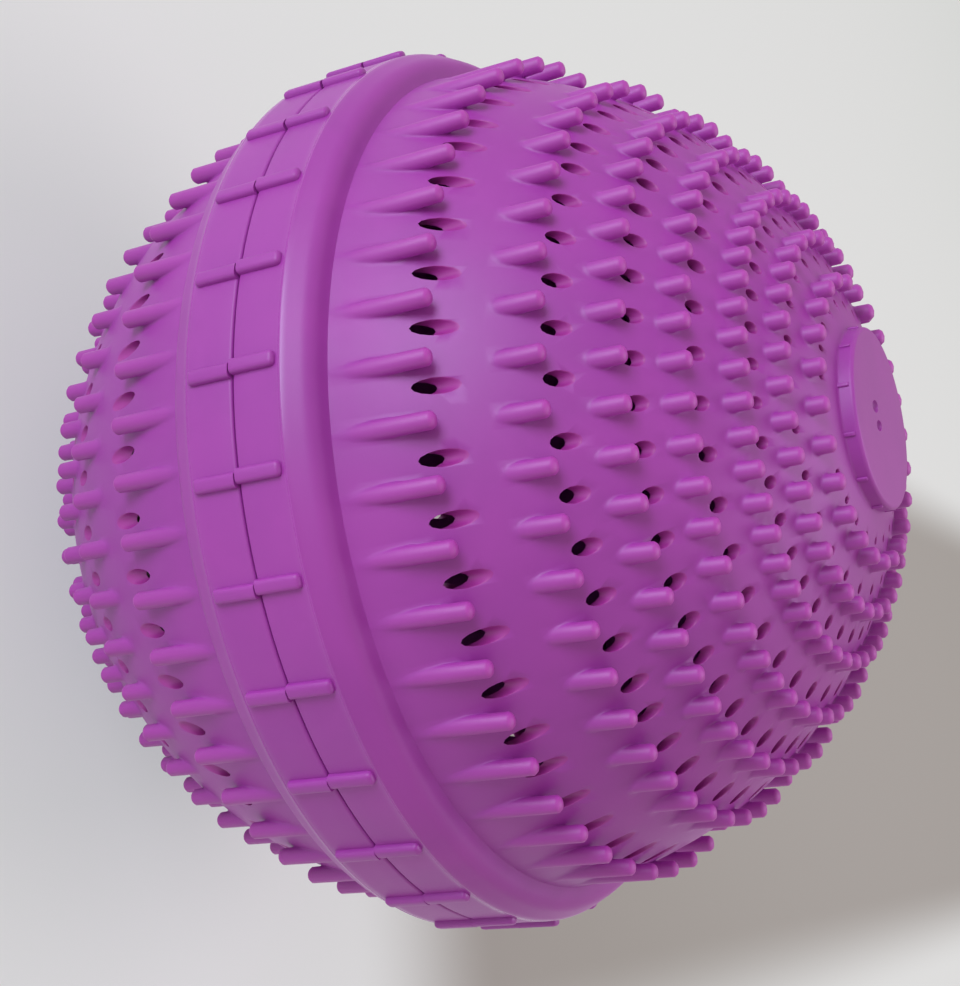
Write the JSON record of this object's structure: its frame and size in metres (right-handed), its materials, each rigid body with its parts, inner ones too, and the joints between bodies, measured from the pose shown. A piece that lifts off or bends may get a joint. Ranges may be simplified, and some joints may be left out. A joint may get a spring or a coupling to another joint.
{
  "type": "laundry ball",
  "caption": "Hollow round laundry ball of two pegged and perforated halves joined at a ribbed middle band, standing on an end boss, with loose ceramic beads inside.",
  "frame": {"origin": "centre of the flat face of the lower end boss, on the surface the ball stands on", "axes": "+Z along the ball's axis from the lower boss through the seam to the upper boss, +X at an angle where a band rib and a line of pegs stand over each other"},
  "size_m": [0.1, 0.0996, 0.0944],
  "materials": {
    "purple_plastic": "satin soft-touch magenta purple plastic",
    "ring_plastic": "plain moulded purple plastic",
    "ceramic": "pale fired ceramic, opaque"
  },
  "bodies": {
    "lower_half": {"lower_shell": "purple_plastic", "bead_01": "ceramic", "bead_02": "ceramic", "bead_03": "ceramic", "bead_04": "ceramic", "bead_05": "ceramic", "bead_06": "ceramic", "bead_07": "ceramic", "bead_08": "ceramic", "bead_09": "ceramic", "bead_10": "ceramic", "bead_11": "ceramic", "bead_12": "ceramic", "bead_13": "ceramic", "bead_14": "ceramic", "bead_15": "ceramic", "bead_16": "ceramic", "bead_17": "ceramic", "bead_18": "ceramic", "bead_19": "ceramic", "bead_20": "ceramic", "bead_21": "ceramic", "bead_22": "ceramic"},
    "ring": {"joining_ring": "ring_plastic"},
    "upper_half": {"upper_shell": "purple_plastic"}
  },
  "joints": [
    {"name": "swivel", "type": "hinge", "parent": "lower_half", "child": "ring", "pos_m": [0, 0, 0.0472], "axis": [0, 0, 1], "continuous": true},
    {"name": "pull_off", "type": "slide", "parent": "ring", "child": "upper_half", "axis": [0, 0, 1], "range_m": [0, 0.06]}
  ]
}
